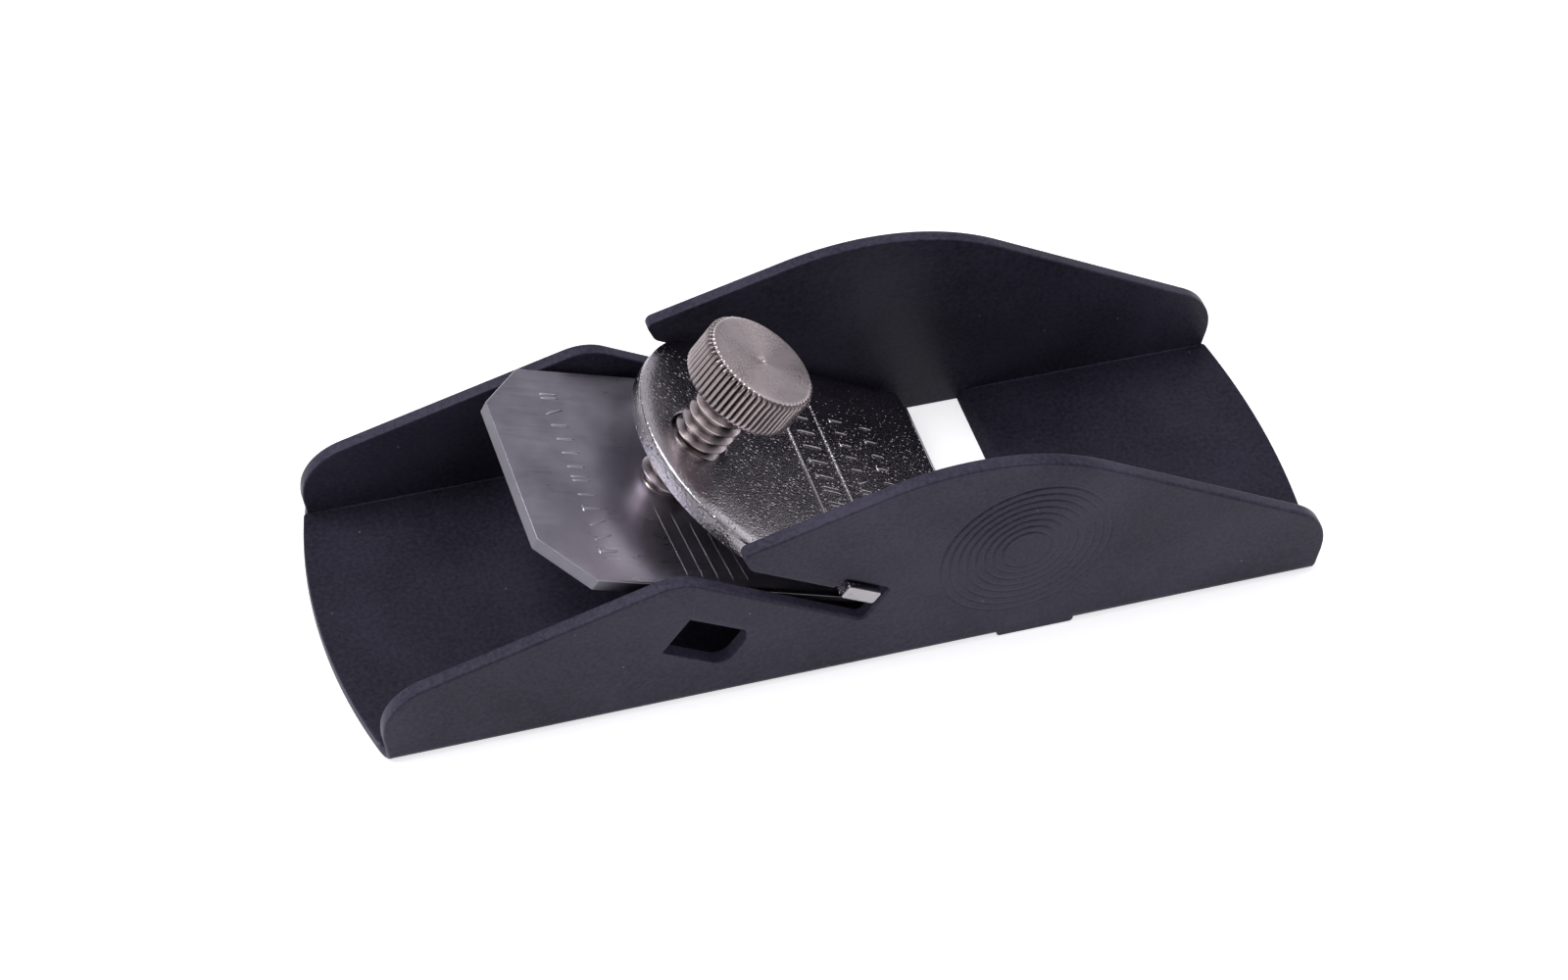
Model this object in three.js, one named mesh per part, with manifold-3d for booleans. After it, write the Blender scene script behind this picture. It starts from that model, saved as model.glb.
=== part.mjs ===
// Small pressed-steel trimming plane.
// One folded sheet-steel channel is the body. A flat cutter lies on two lanced
// tabs and on the rear lip of the mouth. A cast lever cap hooks its two lugs
// into sloping slots in the cheeks, and a knurled thumb screw through the cap
// presses on the cutter, which clamps the nose of the cap down near the mouth.
//
// Units are millimetres. +X points to the toe, +Y to the left cheek and +Z up.
// The origin is on the sole, under the middle of the part.

import * as THREE from 'three';
import { mergeVertices } from 'three/addons/utils/BufferGeometryUtils.js';
import Module from 'manifold-3d';

// ---------------------------------------------------------------- dimensions

const GAP = 0.2;              // clearance between pieces that touch in use

// body: one sheet-steel blank, folded into a channel
const LENGTH = 88.9;          // overall, 3 1/2 inch
const WIDTH = 28;             // over the cheeks
const SHEET = 1.2;            // thickness of the steel
const BEND_RADIUS = 1.0;      // outside of the fold
const CHEEK_LEAN = THREE.MathUtils.degToRad(0.8); // the cheeks lean in a little
const TOE_ARC_RADIUS = 64;    // curve of the sole's end edges, in plan
const HEEL_ARC_RADIUS = 46;
const HALF_INSIDE = WIDTH / 2 - SHEET;

// mouth in the sole, over the whole inside width
const MOUTH_REAR = 12.5;
const MOUTH_FRONT = 18.5;     // at the underside
const MOUTH_FRONT_RAKE = 0.8; // the front edge leans forward by this much

// slots for the lugs of the lever cap, measured in the slot frame:
// s runs down the slope to the toe, n is square to it
const SLOT_ANGLE = THREE.MathUtils.degToRad(30);
const SLOT_LOW = 5.15;
const SLOT_HIGH = 7.93;
const POCKET_REAR = -8.8;
const POCKET_FRONT = -4.0;
const POCKET_HIGH = 9.2;

// lanced windows in the cheeks, whose tabs are folded in to carry the cutter
const WINDOW_REAR = -20.1;
const WINDOW_FRONT = -13.35;
const WINDOW_LOW = -2.95;
const WINDOW_HIGH = 1.7;
const TAB_REACH = 3.7;        // how far a tab stands in from the cheek

// cutter
const BED_ANGLE = THREE.MathUtils.degToRad(20.5);
const BLADE_WIDTH = 23.8;
const BLADE_LENGTH = 44.9;
const BLADE_THICKNESS = 1.2;
const BLADE_CLIP = 4.25;      // clipped rear corners
const BLADE_BEVEL = 2.6;      // length of the ground bevel
const BLADE_EDGE_X = 13.15;   // where the cutting edge stands at rest

// lever cap, in the slot frame
const CAP_TOP = 9.35;
const CAP_UNDER = 7.3;
const CAP_HALF_WIDTH = 12.2;
const CAP_REAR = -24.3;
const CAP_REAR_RADIUS = 14;
const CAP_NOSE = 8.4;
const LUG_LENGTH = 3.7;
const LUG_THICKNESS = 1.5;
const LUG_OVER = 28.8;         // over the ends of the two lugs
const SCREW_HOLE_DIAMETER = 5.3;

// thumb screw, No. 10-24
const SCREW_S = -19.25;
const THREAD_DIAMETER = 4.8;
const THREAD_ROOT = 3.7;
const THREAD_PITCH = 25.4 / 24;
const HEAD_DIAMETER = 10.4;
const HEAD_TOP = 18.95;
const HEAD_HEIGHT = 3.95;
const KNURL_RIBS = 60;
const KNURL_DEPTH = 0.25;
const HEAD_CHAMFER = 0.35;
const COLLAR_DIAMETER = 5.6;
const COLLAR_HEIGHT = 0.7;
const POINT_DIAMETER = 3.5;   // flat end of the screw
const POINT_TOP = 6.0;        // where the end of the screw meets the long thread

// ------------------------------------------------------------------- solids

const wasm = await Module();
wasm.setup();

// Closed three.js geometry to a solid for cutting and joining.
function toSolid(geometry) {
  const plain = geometry.index ? geometry.toNonIndexed() : geometry.clone();
  plain.deleteAttribute('normal');
  plain.deleteAttribute('uv');
  const merged = mergeVertices(plain, 1e-5);
  const mesh = new wasm.Mesh({
    numProp: 3,
    vertProperties: new Float32Array(merged.attributes.position.array),
    triVerts: new Uint32Array(merged.index.array),
  });
  return new wasm.Manifold(mesh);
}

function toGeometry(solid) {
  const mesh = solid.getMesh();
  const geometry = new THREE.BufferGeometry();
  geometry.setAttribute('position', new THREE.BufferAttribute(mesh.vertProperties, 3));
  geometry.setIndex(new THREE.BufferAttribute(mesh.triVerts, 1));
  const flat = geometry.toNonIndexed();
  flat.computeVertexNormals();
  return flat;
}

// Outline through corners [x, y, radius]; a corner with a radius becomes an arc.
function roundedOutline(corners, stepsPerTurn = 48) {
  const points = [];
  corners.forEach(([x, y, radius = 0], i) => {
    const corner = new THREE.Vector2(x, y);
    if (radius === 0) {
      points.push(corner);
      return;
    }
    const [px, py] = corners[(i + corners.length - 1) % corners.length];
    const [qx, qy] = corners[(i + 1) % corners.length];
    const back = new THREE.Vector2(px, py).sub(corner).normalize();
    const ahead = new THREE.Vector2(qx, qy).sub(corner).normalize();
    const half = Math.acos(THREE.MathUtils.clamp(back.dot(ahead), -1, 1)) / 2;
    const middle = back.clone().add(ahead).normalize();
    const centre = corner.clone().addScaledVector(middle, radius / Math.sin(half));
    const first = corner.clone().addScaledVector(back, radius / Math.tan(half)).sub(centre);
    const side = Math.sign(back.cross(ahead));
    const sweep = side * (2 * half - Math.PI);
    const steps = Math.max(2, Math.ceil((Math.abs(sweep) / (2 * Math.PI)) * stepsPerTurn));
    for (let k = 0; k <= steps; k += 1) {
      const spoke = first.clone().rotateAround(new THREE.Vector2(), (sweep * k) / steps);
      points.push(centre.clone().add(spoke));
    }
  });
  return points;
}

function extruded(outline, length) {
  return new THREE.ExtrudeGeometry(new THREE.Shape(outline), {
    depth: length,
    bevelEnabled: false,
    steps: 1,
  });
}

// Prism on an (x, y) outline from z0 up to z1, then tilted about Y.
function plate(outline, z0, z1, tilt = 0) {
  return toSolid(extruded(outline, z1 - z0).translate(0, 0, z0).rotateY(tilt));
}

// Prism on an (x, z) outline from y0 across to y1, then tilted about Y.
function sideways(outline, y0, y1, tilt = 0) {
  const geometry = extruded(outline, y1 - y0).rotateX(Math.PI / 2).translate(0, y1, 0);
  return toSolid(geometry.rotateY(tilt));
}

// Prism on a (y, z) outline from x0 along to x1.
function lengthwise(outline, x0, x1) {
  const turn = new THREE.Matrix4().makeBasis(
    new THREE.Vector3(0, 1, 0),
    new THREE.Vector3(0, 0, 1),
    new THREE.Vector3(1, 0, 0),
  );
  return toSolid(extruded(outline, x1 - x0).applyMatrix4(turn).translate(x0, 0, 0));
}

function block(x0, x1, y0, y1, z0, z1) {
  const geometry = new THREE.BoxGeometry(x1 - x0, y1 - y0, z1 - z0);
  return toSolid(geometry.translate((x0 + x1) / 2, (y0 + y1) / 2, (z0 + z1) / 2));
}

// Turned solid about an upright axis at x, from a (radius, height) profile.
function turned(profile, segments, x = 0) {
  const points = profile.map(([radius, height]) => new THREE.Vector2(radius, height));
  const geometry = new THREE.LatheGeometry(points, segments).rotateX(Math.PI / 2);
  return toSolid(geometry.translate(x, 0, 0));
}

// A point of the slot frame in body coordinates.
function fromSlot(s, n) {
  return [
    s * Math.cos(SLOT_ANGLE) + n * Math.sin(SLOT_ANGLE),
    -s * Math.sin(SLOT_ANGLE) + n * Math.cos(SLOT_ANGLE),
  ];
}

// ------------------------------------------------- where the cutter's bed lies

// Height of the cutter's underside above the sole's underside, at a given x.
function underBlade(x) {
  return SHEET + GAP / Math.cos(BED_ANGLE) + (MOUTH_REAR - x) * Math.tan(BED_ANGLE);
}

// n of a plane that lies `above` the cutter's underside, at a given s.
function bladeInSlotFrame(s, above) {
  const lean = SLOT_ANGLE - BED_ANGLE;
  const height = underBlade(0) * Math.cos(BED_ANGLE) + above;
  return (height + s * Math.sin(lean)) / Math.cos(lean);
}

// --------------------------------------------------------------------- body

function cheekOutline() {
  return roundedOutline([
    [-42.26, SHEET],
    [-42.75, 3.3, 5],
    [-42.75, 7.9, 5],
    [-17.85, 16.41, 4.4],
    [...fromSlot(POCKET_FRONT, SLOT_LOW), 0.5],
    [...fromSlot(POCKET_FRONT, POCKET_HIGH), 0.2],
    [...fromSlot(POCKET_REAR, POCKET_HIGH), 0.3],
    [...fromSlot(POCKET_REAR - 0.4, SLOT_HIGH), 0.2],
    [...fromSlot(-18.2, SLOT_HIGH), 1.3],
    [-12.85, 18.15, 0.7],
    [10.1, 25.65, 25],
    [43.0, 6.9, 6],
    [43.05, 3.0, 2.5],
    [42.9, SHEET],
  ]);
}

// One upright wall of the channel; side is +1 on the left, -1 on the right.
function cheek(side) {
  const inner = side * HALF_INSIDE;
  const outer = side * (WIDTH / 2);
  const low = Math.min(inner, outer);
  const geometry = extruded(cheekOutline(), SHEET).rotateX(Math.PI / 2);
  const lean = new THREE.Matrix4().set(
    1, 0, 0, 0,
    0, 1, -side * Math.tan(CHEEK_LEAN), 0,
    0, 0, 1, 0,
    0, 0, 0, 1,
  );
  geometry.translate(0, low + SHEET, -SHEET).applyMatrix4(lean).translate(0, 0, SHEET);
  return toSolid(geometry);
}

// One end edge of the sole, bowed outward; side is +1 at the toe, -1 at the heel.
function endArc(side) {
  const radius = side > 0 ? TOE_ARC_RADIUS : HEEL_ARC_RADIUS;
  const centre = side * (LENGTH / 2 - radius);
  const half = Math.asin(WIDTH / 2 / radius);
  const steps = 16;
  return Array.from({ length: steps + 1 }, (_, k) => {
    const angle = -half + (2 * half * k) / steps;
    const x = centre + side * radius * Math.cos(angle);
    return new THREE.Vector2(x, side * radius * Math.sin(angle));
  });
}

function windowOutline() {
  return roundedOutline([
    [WINDOW_REAR, WINDOW_LOW],
    [WINDOW_FRONT, WINDOW_LOW, 1.3],
    [WINDOW_FRONT, WINDOW_HIGH, 1.9],
    [WINDOW_REAR, WINDOW_HIGH],
  ]);
}

function tab(side) {
  const top = bladeInSlotFrame(WINDOW_REAR, 0) - GAP;
  const root = side * (HALF_INSIDE + SHEET / 2);
  const end = side * (HALF_INSIDE - TAB_REACH);
  const outline = roundedOutline([
    [WINDOW_REAR, root],
    [WINDOW_REAR, end, 0.3],
    [WINDOW_FRONT - 0.3, end, 1.9],
    [WINDOW_FRONT - 0.3, root],
  ]);
  return plate(outline, top - SHEET, top, SLOT_ANGLE);
}

function bodySolid() {
  const half = WIDTH / 2;
  const fold = lengthwise(roundedOutline([
    [-half, SHEET],
    [-half, 0, BEND_RADIUS],
    [half, 0, BEND_RADIUS],
    [half, SHEET],
  ]), -LENGTH / 2 - 1, LENGTH / 2 + 1);
  const plan = plate([...endArc(1), ...endArc(-1)], -1, SHEET + 1);
  const mouth = sideways([
    new THREE.Vector2(MOUTH_REAR, -SHEET),
    new THREE.Vector2(MOUTH_FRONT - MOUTH_FRONT_RAKE, -SHEET),
    new THREE.Vector2(MOUTH_FRONT + MOUTH_FRONT_RAKE, SHEET),
    new THREE.Vector2(MOUTH_FRONT + MOUTH_FRONT_RAKE, 2 * SHEET),
    new THREE.Vector2(MOUTH_REAR, 2 * SHEET),
  ], -HALF_INSIDE, HALF_INSIDE);

  let body = fold.intersect(plan).subtract(mouth);
  for (const side of [-1, 1]) {
    // beside the mouth the sheet is not folded, so the cheek runs straight down
    const edges = [side * HALF_INSIDE, side * half].sort((a, b) => a - b);
    const lip = block(MOUTH_REAR, MOUTH_FRONT + MOUTH_FRONT_RAKE, ...edges, 0, SHEET);
    body = body.add(lip).add(cheek(side));
  }
  body = body.subtract(sideways(windowOutline(), -half - 1, half + 1, SLOT_ANGLE));
  return body.add(tab(-1)).add(tab(1));
}

// -------------------------------------------------------------------- cutter

// Built flat: x runs to the cutting edge at x = 0, z = 0 is the underside.
function bladeSolid() {
  const half = BLADE_WIDTH / 2;
  const land = 0.08;
  const outline = [
    new THREE.Vector2(0, -half),
    new THREE.Vector2(0, half),
    new THREE.Vector2(-BLADE_LENGTH + BLADE_CLIP, half),
    new THREE.Vector2(-BLADE_LENGTH, half - BLADE_CLIP),
    new THREE.Vector2(-BLADE_LENGTH, -half + BLADE_CLIP),
    new THREE.Vector2(-BLADE_LENGTH + BLADE_CLIP, -half),
  ];
  const side = [
    new THREE.Vector2(-BLADE_LENGTH - 1, 0),
    new THREE.Vector2(0, 0),
    new THREE.Vector2(0, land),
    new THREE.Vector2(-BLADE_BEVEL, BLADE_THICKNESS),
    new THREE.Vector2(-BLADE_LENGTH - 1, BLADE_THICKNESS),
  ];
  return plate(outline, -1, BLADE_THICKNESS + 1).intersect(sideways(side, -half - 1, half + 1));
}

// ----------------------------------------------------------------- lever cap

function capSolid() {
  const arcCentre = CAP_REAR + CAP_REAR_RADIUS;
  const sweep = Math.asin(CAP_HALF_WIDTH / CAP_REAR_RADIUS);
  const steps = 28;
  const rearArc = Array.from({ length: steps + 1 }, (_, k) => {
    const angle = Math.PI - sweep + (2 * sweep * k) / steps;
    return new THREE.Vector2(
      arcCentre + CAP_REAR_RADIUS * Math.cos(angle),
      CAP_REAR_RADIUS * Math.sin(angle),
    );
  });
  const outline = [
    ...rearArc,
    new THREE.Vector2(CAP_NOSE, -CAP_HALF_WIDTH),
    new THREE.Vector2(CAP_NOSE, CAP_HALF_WIDTH),
  ];

  // the underside is flat, then follows the cutter up to a thin nose
  const lean = SLOT_ANGLE - BED_ANGLE;
  const clear = (s) => bladeInSlotFrame(s, BLADE_THICKNESS) + GAP / Math.cos(lean);
  const meet = (CAP_UNDER - clear(0)) / Math.tan(lean);
  const side = [
    new THREE.Vector2(CAP_REAR - 1, CAP_UNDER),
    new THREE.Vector2(meet, CAP_UNDER),
    new THREE.Vector2(CAP_NOSE, clear(CAP_NOSE)),
    new THREE.Vector2(CAP_NOSE, CAP_TOP),
    new THREE.Vector2(CAP_REAR - 1, CAP_TOP),
  ];
  const lugTop = POCKET_HIGH - GAP;
  const lugRear = POCKET_REAR + 0.3;
  const lugs = block(
    lugRear,
    lugRear + LUG_LENGTH,
    -LUG_OVER / 2,
    LUG_OVER / 2,
    lugTop - LUG_THICKNESS,
    lugTop,
  );
  const hole = turned([
    [0, CAP_UNDER - 1],
    [SCREW_HOLE_DIAMETER / 2, CAP_UNDER - 1],
    [SCREW_HOLE_DIAMETER / 2, CAP_TOP + 1],
    [0, CAP_TOP + 1],
  ], 32, SCREW_S);
  return plate(outline, CAP_UNDER - 1, CAP_TOP)
    .intersect(sideways(side, -CAP_HALF_WIDTH - 1, CAP_HALF_WIDTH + 1))
    .add(lugs)
    .subtract(hole);
}

// --------------------------------------------------------------- thumb screw

// Threads are drawn as ring-shaped ridges, which look the same at any turn.
function threadProfile(low, high) {
  const root = THREAD_ROOT / 2;
  const crest = THREAD_DIAMETER / 2;
  const turns = Math.floor((high - low) / THREAD_PITCH);
  const profile = [[0, low], [root, low]];
  for (let k = 0; k < turns; k += 1) {
    const start = low + k * THREAD_PITCH;
    profile.push([root, start + 0.1 * THREAD_PITCH]);
    profile.push([crest, start + 0.45 * THREAD_PITCH]);
    profile.push([crest, start + 0.6 * THREAD_PITCH]);
    profile.push([root, start + 0.95 * THREAD_PITCH]);
  }
  profile.push([root, high], [0, high]);
  return profile;
}

function screwSolid() {
  const headLow = HEAD_TOP - HEAD_HEIGHT;
  const collarLow = headLow - COLLAR_HEIGHT;
  const headRadius = HEAD_DIAMETER / 2;
  const ribs = [];
  for (let k = 0; k < KNURL_RIBS; k += 1) {
    const pitch = (2 * Math.PI) / KNURL_RIBS;
    const crest = k * pitch;
    const valley = crest + pitch / 2;
    ribs.push(new THREE.Vector2(headRadius * Math.cos(crest), headRadius * Math.sin(crest)));
    ribs.push(new THREE.Vector2(
      (headRadius - KNURL_DEPTH) * Math.cos(valley),
      (headRadius - KNURL_DEPTH) * Math.sin(valley),
    ));
  }
  const envelope = turned([
    [0, headLow],
    [headRadius - HEAD_CHAMFER, headLow],
    [headRadius + 0.01, headLow + HEAD_CHAMFER],
    [headRadius + 0.01, HEAD_TOP - HEAD_CHAMFER],
    [headRadius - HEAD_CHAMFER, HEAD_TOP],
    [0, HEAD_TOP],
  ], 60);
  const head = plate(ribs, headLow - 1, HEAD_TOP + 1).intersect(envelope);
  const collar = turned([
    [0, collarLow],
    [COLLAR_DIAMETER / 2, collarLow],
    [COLLAR_DIAMETER / 2, headLow + 0.5],
    [0, headLow + 0.5],
  ], 32);
  const thread = turned(threadProfile(POINT_TOP, collarLow + 0.1), 24);
  return head.add(collar).add(thread);
}

// The chamfered end of the screw below the long thread; it bears on the cutter.
function pointSolid() {
  const radius = POINT_DIAMETER / 2;
  const crest = THREAD_DIAMETER / 2;
  const low = bladeInSlotFrame(SCREW_S + radius, BLADE_THICKNESS) + GAP;
  return turned([
    [0, low],
    [radius, low],
    [crest, low + 0.55],
    [crest, low + 0.7],
    [THREAD_ROOT / 2, low + 1.05],
    [THREAD_ROOT / 2, POINT_TOP - GAP],
    [0, POINT_TOP - GAP],
  ], 32);
}

// ------------------------------------------------------------------ assembly

function namedMesh(name, solid, colour, roughness, metalness) {
  const material = new THREE.MeshStandardMaterial({ color: colour, roughness, metalness });
  const mesh = new THREE.Mesh(toGeometry(solid), material);
  mesh.name = name;
  return mesh;
}

const group = new THREE.Group();
group.name = 'trimming_plane';

group.add(namedMesh('body', bodySolid(), 0x2a2832, 0.45, 0.2));

const blade = namedMesh('blade', bladeSolid(), 0x77747e, 0.38, 0.9);
blade.position.set(BLADE_EDGE_X, 0, underBlade(BLADE_EDGE_X));
blade.rotation.y = BED_ANGLE;
group.add(blade);

const capGroup = new THREE.Group();
capGroup.rotation.y = SLOT_ANGLE;
capGroup.add(namedMesh('lever_cap', capSolid(), 0x8d8a90, 0.22, 1));

const point = namedMesh('screw_point', pointSolid(), 0xa79c94, 0.35, 1);
point.position.x = SCREW_S;
capGroup.add(point);

const screw = namedMesh('thumb_screw', screwSolid(), 0xa79c9c, 0.35, 1);
screw.position.x = SCREW_S;
capGroup.add(screw);
group.add(capGroup);

export default group;
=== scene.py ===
"""Small pressed-steel trimming plane: fine surfaces, finishes, light and camera.

Shapes are modelled in millimetres in the part's own frame and scaled to metres at the end.
"""
import math
import random

import bmesh
import bpy
from mathutils import Matrix, Vector, geometry


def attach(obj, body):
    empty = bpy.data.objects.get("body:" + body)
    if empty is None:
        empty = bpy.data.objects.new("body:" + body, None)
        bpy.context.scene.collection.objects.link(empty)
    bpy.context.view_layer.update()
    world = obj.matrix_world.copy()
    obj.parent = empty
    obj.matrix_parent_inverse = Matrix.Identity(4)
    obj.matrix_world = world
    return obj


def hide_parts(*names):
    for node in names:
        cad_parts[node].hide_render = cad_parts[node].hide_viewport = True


MM = 0.001

# folded body
SHEET = 1.2
OUTSIDE = 14.0
INSIDE = OUTSIDE - SHEET
BEND = 1.0
PAINT_FILLET = 0.11
LEAN = math.radians(0.8)
FLAT = OUTSIDE - BEND
WALL = FLAT + BEND * math.pi / 2      # developed width at the foot of a cheek
LENGTH = 88.9
TOE_ARC, HEEL_ARC = 64.0, 46.0
MOUTH_REAR, MOUTH_FRONT, MOUTH_RAKE = 12.5, 18.5, 0.8

# slots, windows and tabs, in the sloping frame (s down the slope, n square to it)
SLOPE = math.radians(30)
SLOT_LOW, SLOT_HIGH = 5.15, 7.93
POCKET_REAR, POCKET_FRONT, POCKET_HIGH = -8.8, -4.0, 9.2
WINDOW = dict(rear=-20.1, front=-13.35, low=-2.95, high=1.7)
TAB_TOP, TAB_REACH = 2.2, 3.7

# finger grips pressed into the cheeks
GRIP_X, GRIP_Z = 13.34, 11.62
GRIP_RINGS = [2.2 + 0.8 * k for k in range(8)]
GRIP_DEPTH, GRIP_HALF_WIDTH, GRIP_EDGE = 0.11, 0.2, 8.4
GRIP_EVEN = 0.58

# cutter
BED = math.radians(20.5)
CUTTER = dict(width=23.8, length=44.9, thickness=1.2, clip=4.25, bevel=2.6, land=0.08)
EDGE_X = 13.15
EDGE_Z = 1.2 + 0.2 / math.cos(BED) + (MOUTH_REAR - EDGE_X) * math.tan(BED)

# lever cap
CAP_TOP, CAP_UNDER = 9.35, 7.3
CAP_HALF, CAP_REAR, CAP_NOSE, CAP_RADIUS = 12.2, -24.3, 8.4, 14.0
CAP_HOLE = 2.65
CAP_CROWN, CAP_ROLL = 0.3, 0.2

# thumb screw
SCREW_S = -19.25
SCREW_AXIS = (math.sin(SLOPE), 0, math.cos(SLOPE))
PITCH = 25.4 / 24
CREST, ROOT = 2.4, 1.85
HEAD_RADIUS, HEAD_TOP, HEAD_HEIGHT = 5.2, 18.95, 3.95
RIBS, RIB_DEPTH, STEPS_PER_RIB = 60, 0.28, 10
BURR_ROW = 0.9                        # rib depth in the chamfer row that carries the burrs
COLLAR_RADIUS, COLLAR_HEIGHT = 2.8, 0.7
SPLIT = 5.95
JOINT_GAP = 0.02
TURNING_FEED = 0.00011                # metres between the lathe's marks on the face

# camera: metres, then azimuth, elevation and roll in degrees
CAMERA_PLACE = (-0.10011, -0.20124, 0.26986)
CAMERA_TURN = (25.66, 49.53, 9.04)
CAMERA_LENS = 91.37
TIP, TIP_RADIUS = 3.12, 1.75


# ---------------------------------------------------------------- small tools

def rounded(corners, closed=True, step=0.22):
    """Outline through (x, z) or (x, z, radius) corners, with the corners rounded."""
    points = []
    count = len(corners)
    for i, corner in enumerate(corners):
        here = Vector(corner[:2])
        radius = corner[2] if len(corner) > 2 else 0
        if not radius or (not closed and i in (0, count - 1)):
            points.append(here)
            continue
        back = (Vector(corners[i - 1][:2]) - here).normalized()
        ahead = (Vector(corners[(i + 1) % count][:2]) - here).normalized()
        half = back.angle(ahead) / 2
        centre = here + (back + ahead).normalized() * radius / math.sin(half)
        reach = radius / math.tan(half)
        first = here + back * reach - centre
        last = here + ahead * reach - centre
        start = math.atan2(first.y, first.x)
        sweep = (math.atan2(last.y, last.x) - start + math.pi) % (2 * math.pi) - math.pi
        steps = min(64, max(4, math.ceil(abs(sweep) * radius / step)))
        for k in range(steps + 1):
            angle = start + sweep * k / steps
            points.append(centre + radius * Vector((math.cos(angle), math.sin(angle))))
    return points


def from_slope(s, n):
    return (
        s * math.cos(SLOPE) + n * math.sin(SLOPE),
        -s * math.sin(SLOPE) + n * math.cos(SLOPE),
    )


def turned_round(loop, anticlockwise):
    area = sum(a.x * b.y - b.x * a.y for a, b in zip(loop, loop[1:] + loop[:1]))
    return loop if (area > 0) == anticlockwise else loop[::-1]


def offsets(loop):
    """Direction into the material at each point; the material lies on the left."""
    result = []
    for i, here in enumerate(loop):
        before = (here - loop[i - 1]).normalized()
        after = (loop[(i + 1) % len(loop)] - here).normalized()
        middle = Vector((-before.y - after.y, before.x + after.x)).normalized()
        cosine = Vector((-before.y, before.x)).dot(middle)
        result.append(middle / max(cosine, 0.6))
    return result


def edge_rows(thickness, first, last, steps=4):
    """(inset, depth) of the rows that round a sheet's edge from face to face."""
    rows = []
    for k in range(steps + 1):
        turn = math.pi / 2 * k / steps
        rows.append((first * (1 - math.sin(turn)), first * (1 - math.cos(turn))))
    for k in range(steps + 1):
        turn = math.pi / 2 * k / steps
        rows.append((last * (1 - math.cos(turn)), thickness - last * (1 - math.sin(turn))))
    return rows


def is_inside(point, outlines):
    inside = False
    for outline in outlines:
        before = outline[-1]
        for here in outline:
            if (here.y > point.y) != (before.y > point.y):
                cut = here.x + (point.y - here.y) * (before.x - here.x) / (before.y - here.y)
                if point.x < cut:
                    inside = not inside
            before = here
    return inside


def fill(bm, rings, place, depth, creases=(), loose=()):
    """Faces the area between rings of (flat point, vertex) pairs."""
    points, edges, known = [], [], []
    for ring in rings:
        start, count = len(points), len(ring)
        points += [point for point, _ in ring]
        known += [vertex for _, vertex in ring]
        edges += [(start + i, start + (i + 1) % count) for i in range(count)]
    for a, b in creases:
        edges.append((len(points), len(points) + 1))
        points += [Vector(a), Vector(b)]
        known += [None, None]
    points += list(loose)
    known += [None] * len(loose)
    flat, _, faces, origin, _, _ = geometry.delaunay_2d_cdt(points, edges, [], 0, 1e-5)
    outlines = [[point for point, _ in ring] for ring in rings]
    made = {}
    for face in faces:
        middle = (flat[face[0]] + flat[face[1]] + flat[face[2]]) / 3
        if not is_inside(middle, outlines):
            continue
        for i in face:
            if i not in made:
                same = [known[j] for j in origin[i] if known[j] is not None]
                made[i] = same[0] if same else bm.verts.new(place(flat[i], depth))
        corners = [made[i] for i in face]
        if len(set(corners)) == 3 and bm.faces.get(corners) is None:
            bm.faces.new(corners)


def bridge(bm, lower, upper):
    count = len(lower)
    for i in range(count):
        j = (i + 1) % count
        bm.faces.new((lower[i], lower[j], upper[j], upper[i]))


def slab(bm, loops, place, thickness, creases=((), ()), rings=(), loose=((), ())):
    """Closed sheet. Each loop is (first face outline, last face outline, radius, radius).

    rings are ready (flat point, vertex) rings that the first face leaves open.
    """
    first_rings, last_rings = [], []
    for near, far, near_radius, far_radius in loops:
        near_way, far_way = offsets(near), offsets(far)
        before = None
        for inset, depth in edge_rows(thickness, near_radius, far_radius):
            share = depth / thickness
            flat = [
                (a + u * inset).lerp(b + v * inset, share)
                for a, b, u, v in zip(near, far, near_way, far_way)
            ]
            row = [bm.verts.new(place(point, depth)) for point in flat]
            if before is None:
                first_rings.append(list(zip(flat, row)))
            else:
                bridge(bm, before, row)
            before = row
        last_rings.append(list(zip(flat, row)))
    fill(bm, first_rings + list(rings), place, 0, creases[0], loose[0])
    fill(bm, last_rings, place, thickness, creases[1], loose[1])


def loft(bm, sections):
    """Closed skin over sections that all have the same number of points."""
    rows = [[bm.verts.new(point) for point in section] for section in sections]
    for lower, upper in zip(rows, rows[1:]):
        bridge(bm, lower, upper)
    bm.faces.new(rows[0][::-1])
    bm.faces.new(rows[-1])


def piece(name, bm, node, body, materials, sharp=32, frame=None):
    """Turns a mesh built in millimetres into a finished, smooth shaded piece."""
    bmesh.ops.remove_doubles(bm, verts=bm.verts, dist=0.003)
    bmesh.ops.dissolve_degenerate(bm, edges=bm.edges, dist=0.001)
    bmesh.ops.recalc_face_normals(bm, faces=bm.faces)
    if frame is not None:
        bmesh.ops.transform(bm, matrix=frame, verts=bm.verts)
    bmesh.ops.scale(bm, vec=(MM, MM, MM), verts=bm.verts)
    mesh = bpy.data.meshes.new(name)
    bm.to_mesh(mesh)
    bm.free()
    mesh.shade_smooth()
    mesh.set_sharp_from_angle(angle=math.radians(sharp))
    for material in materials:
        mesh.materials.append(material)
    obj = bpy.data.objects.new(name, mesh)
    bpy.context.scene.collection.objects.link(obj)
    weighted = obj.modifiers.new("even_shading", "WEIGHTED_NORMAL")
    weighted.keep_sharp = True
    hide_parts(node)
    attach(obj, body)
    return obj


def slope_frame():
    return Matrix.Rotation(SLOPE, 4, "Y")


# ----------------------------------------------------------------------- body

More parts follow.
